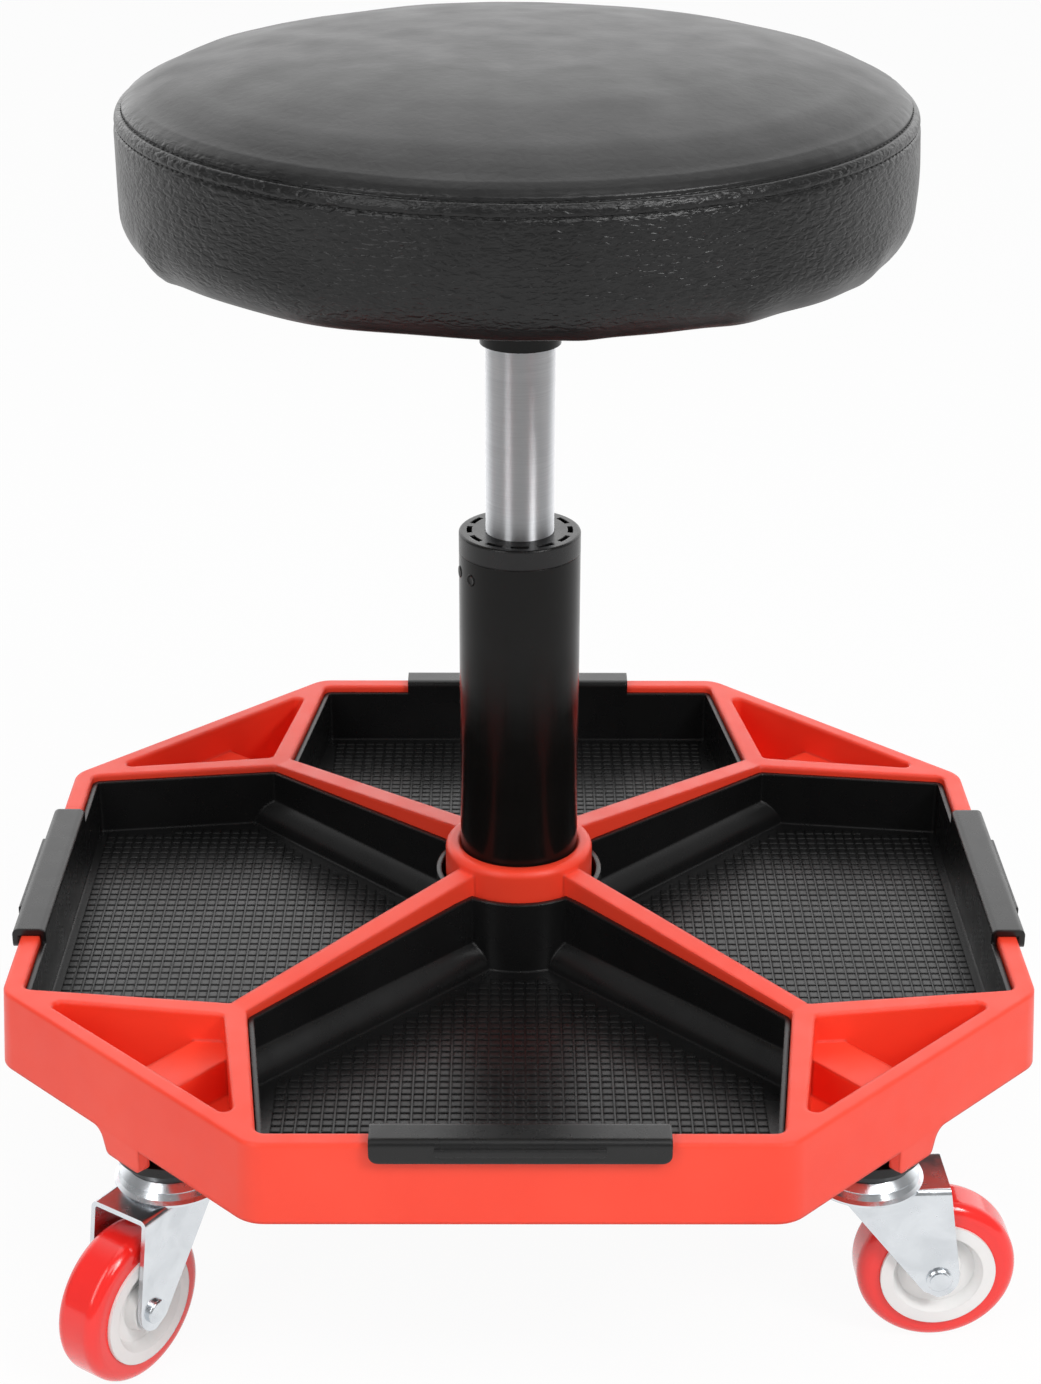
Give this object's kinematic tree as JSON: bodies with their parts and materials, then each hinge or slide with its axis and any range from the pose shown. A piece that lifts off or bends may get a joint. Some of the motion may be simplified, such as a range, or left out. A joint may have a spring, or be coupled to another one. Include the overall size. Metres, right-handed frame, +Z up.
{
  "type": "creeper seat",
  "caption": "Rolling mechanic's stool: round padded seat on a gas lift, octagonal red base with lift-out tool trays, swivel casters.",
  "frame": {"origin": "on the floor, under the gas lift's axis", "axes": "+Z up, -Y towards the front tray, +X to the right seen from the front"},
  "size_m": [0.4228, 0.4228, 0.493],
  "materials": {
    "red_plastic": "satin moulded",
    "red_tread": "glossy polyurethane",
    "white_hub": "satin moulded",
    "black_paint": "satin powder coat",
    "black_plastic": "matte moulded",
    "tray_plastic": "satin moulded, tiled floor",
    "black_rubber": "matte",
    "bright_steel": "machined",
    "brushed_cylinder": "brushed",
    "zinc_plate": "bright zinc plate",
    "plywood": "raw",
    "black_vinyl": "grained vinyl"
  },
  "bodies": {
    "base": {"base_frame": "red_plastic", "column_tube": "black_paint", "guide_bush": "black_plastic", "thrust_bearing": "bright_steel", "caster_socket_front_left": "black_plastic", "caster_stem_front_left": "zinc_plate", "swivel_race_front_left": "zinc_plate", "caster_socket_front_right": "black_plastic", "caster_stem_front_right": "zinc_plate", "swivel_race_front_right": "zinc_plate", "caster_socket_back_left": "black_plastic", "caster_stem_back_left": "zinc_plate", "swivel_race_back_left": "zinc_plate", "caster_socket_back_right": "black_plastic", "caster_stem_back_right": "zinc_plate", "swivel_race_back_right": "zinc_plate"},
    "piston": {"piston_rod": "bright_steel", "retaining_clip": "bright_steel", "rubber_buffer": "black_rubber", "piston_head": "bright_steel"},
    "seat": {"gas_cylinder": "brushed_cylinder", "rod_guide": "black_rubber", "taper_socket": "black_paint", "seat_plate": "black_paint", "seat_board": "plywood", "seat_cushion": "black_vinyl", "lever_pin": "bright_steel", "seat_screw_front_left": "bright_steel", "seat_screw_front_right": "bright_steel", "seat_screw_back_left": "bright_steel", "seat_screw_back_right": "bright_steel"},
    "button": {"release_button": "bright_steel"},
    "lever": {"release_lever": "black_paint", "lever_grip": "black_plastic"},
    "caster_front_left": {"fork_front_left": "zinc_plate", "axle_bolt_front_left": "zinc_plate", "axle_nut_front_left": "zinc_plate"},
    "wheel_front_left": {"wheel_tread_front_left": "red_tread", "wheel_hub_front_left": "white_hub"},
    "caster_front_right": {"fork_front_right": "zinc_plate", "axle_bolt_front_right": "zinc_plate", "axle_nut_front_right": "zinc_plate"},
    "wheel_front_right": {"wheel_tread_front_right": "red_tread", "wheel_hub_front_right": "white_hub"},
    "caster_back_left": {"fork_back_left": "zinc_plate", "axle_bolt_back_left": "zinc_plate", "axle_nut_back_left": "zinc_plate"},
    "wheel_back_left": {"wheel_tread_back_left": "red_tread", "wheel_hub_back_left": "white_hub"},
    "caster_back_right": {"fork_back_right": "zinc_plate", "axle_bolt_back_right": "zinc_plate", "axle_nut_back_right": "zinc_plate"},
    "wheel_back_right": {"wheel_tread_back_right": "red_tread", "wheel_hub_back_right": "white_hub"},
    "tray_front": {"tray_front": "tray_plastic"},
    "tray_right": {"tray_right": "tray_plastic"},
    "tray_back": {"tray_back": "tray_plastic"},
    "tray_left": {"tray_left": "tray_plastic"}
  },
  "joints": [
    {"name": "seat_swivel", "type": "hinge", "parent": "base", "child": "piston", "pos_m": [0, 0, 0.1], "axis": [0, 0, 1], "continuous": true},
    {"name": "seat_lift", "type": "slide", "parent": "piston", "child": "seat", "axis": [0, 0, 1], "range_m": [-0.077, 0.043]},
    {"name": "lever_tilt", "type": "hinge", "parent": "seat", "child": "lever", "pos_m": [0, 0.03, 0.4081], "axis": [1, 0, 0], "range_deg": [0, 5.7], "stiffness_Nm_per_rad": 2, "springref_deg": -2.86},
    {"name": "button_press", "type": "slide", "parent": "seat", "child": "button", "axis": [0, 0, -1], "range_m": [0, 0.003]},
    {"name": "swivel_front_left", "type": "hinge", "parent": "base", "child": "caster_front_left", "pos_m": [-0.1367, -0.1367, 0.076], "axis": [0, 0, 1], "continuous": true},
    {"name": "roll_front_left", "type": "hinge", "parent": "caster_front_left", "child": "wheel_front_left", "pos_m": [-0.15358, -0.1615, 0.0318], "axis": [0.8266, -0.5628, 0], "continuous": true},
    {"name": "swivel_front_right", "type": "hinge", "parent": "base", "child": "caster_front_right", "pos_m": [0.1367, -0.1367, 0.076], "axis": [0, 0, 1], "continuous": true},
    {"name": "roll_front_right", "type": "hinge", "parent": "caster_front_right", "child": "wheel_front_right", "pos_m": [0.16668, -0.13552, 0.0318], "axis": [-0.0393, 0.9992, 0], "continuous": true},
    {"name": "swivel_back_left", "type": "hinge", "parent": "base", "child": "caster_back_left", "pos_m": [-0.1367, 0.1367, 0.076], "axis": [0, 0, 1], "continuous": true},
    {"name": "roll_back_left", "type": "hinge", "parent": "caster_back_left", "child": "wheel_back_left", "pos_m": [-0.16489, 0.14696, 0.0318], "axis": [-0.342, -0.9397, 0], "continuous": true},
    {"name": "swivel_back_right", "type": "hinge", "parent": "base", "child": "caster_back_right", "pos_m": [0.1367, 0.1367, 0.076], "axis": [0, 0, 1], "continuous": true},
    {"name": "roll_back_right", "type": "hinge", "parent": "caster_back_right", "child": "wheel_back_right", "pos_m": [0.14447, 0.16568, 0.0318], "axis": [-0.9659, 0.2588, 0], "continuous": true},
    {"name": "lift_tray_front", "type": "slide", "parent": "base", "child": "tray_front", "axis": [0, 0, 1], "range_m": [0, 0.06]},
    {"name": "lift_tray_right", "type": "slide", "parent": "base", "child": "tray_right", "axis": [0, 0, 1], "range_m": [0, 0.06]},
    {"name": "lift_tray_back", "type": "slide", "parent": "base", "child": "tray_back", "axis": [0, 0, 1], "range_m": [0, 0.06]},
    {"name": "lift_tray_left", "type": "slide", "parent": "base", "child": "tray_left", "axis": [0, 0, 1], "range_m": [0, 0.06]}
  ],
  "couplings": [
    {"joint": "button_press", "follows": "lever_tilt", "m_per_rad": 0.03}
  ]
}
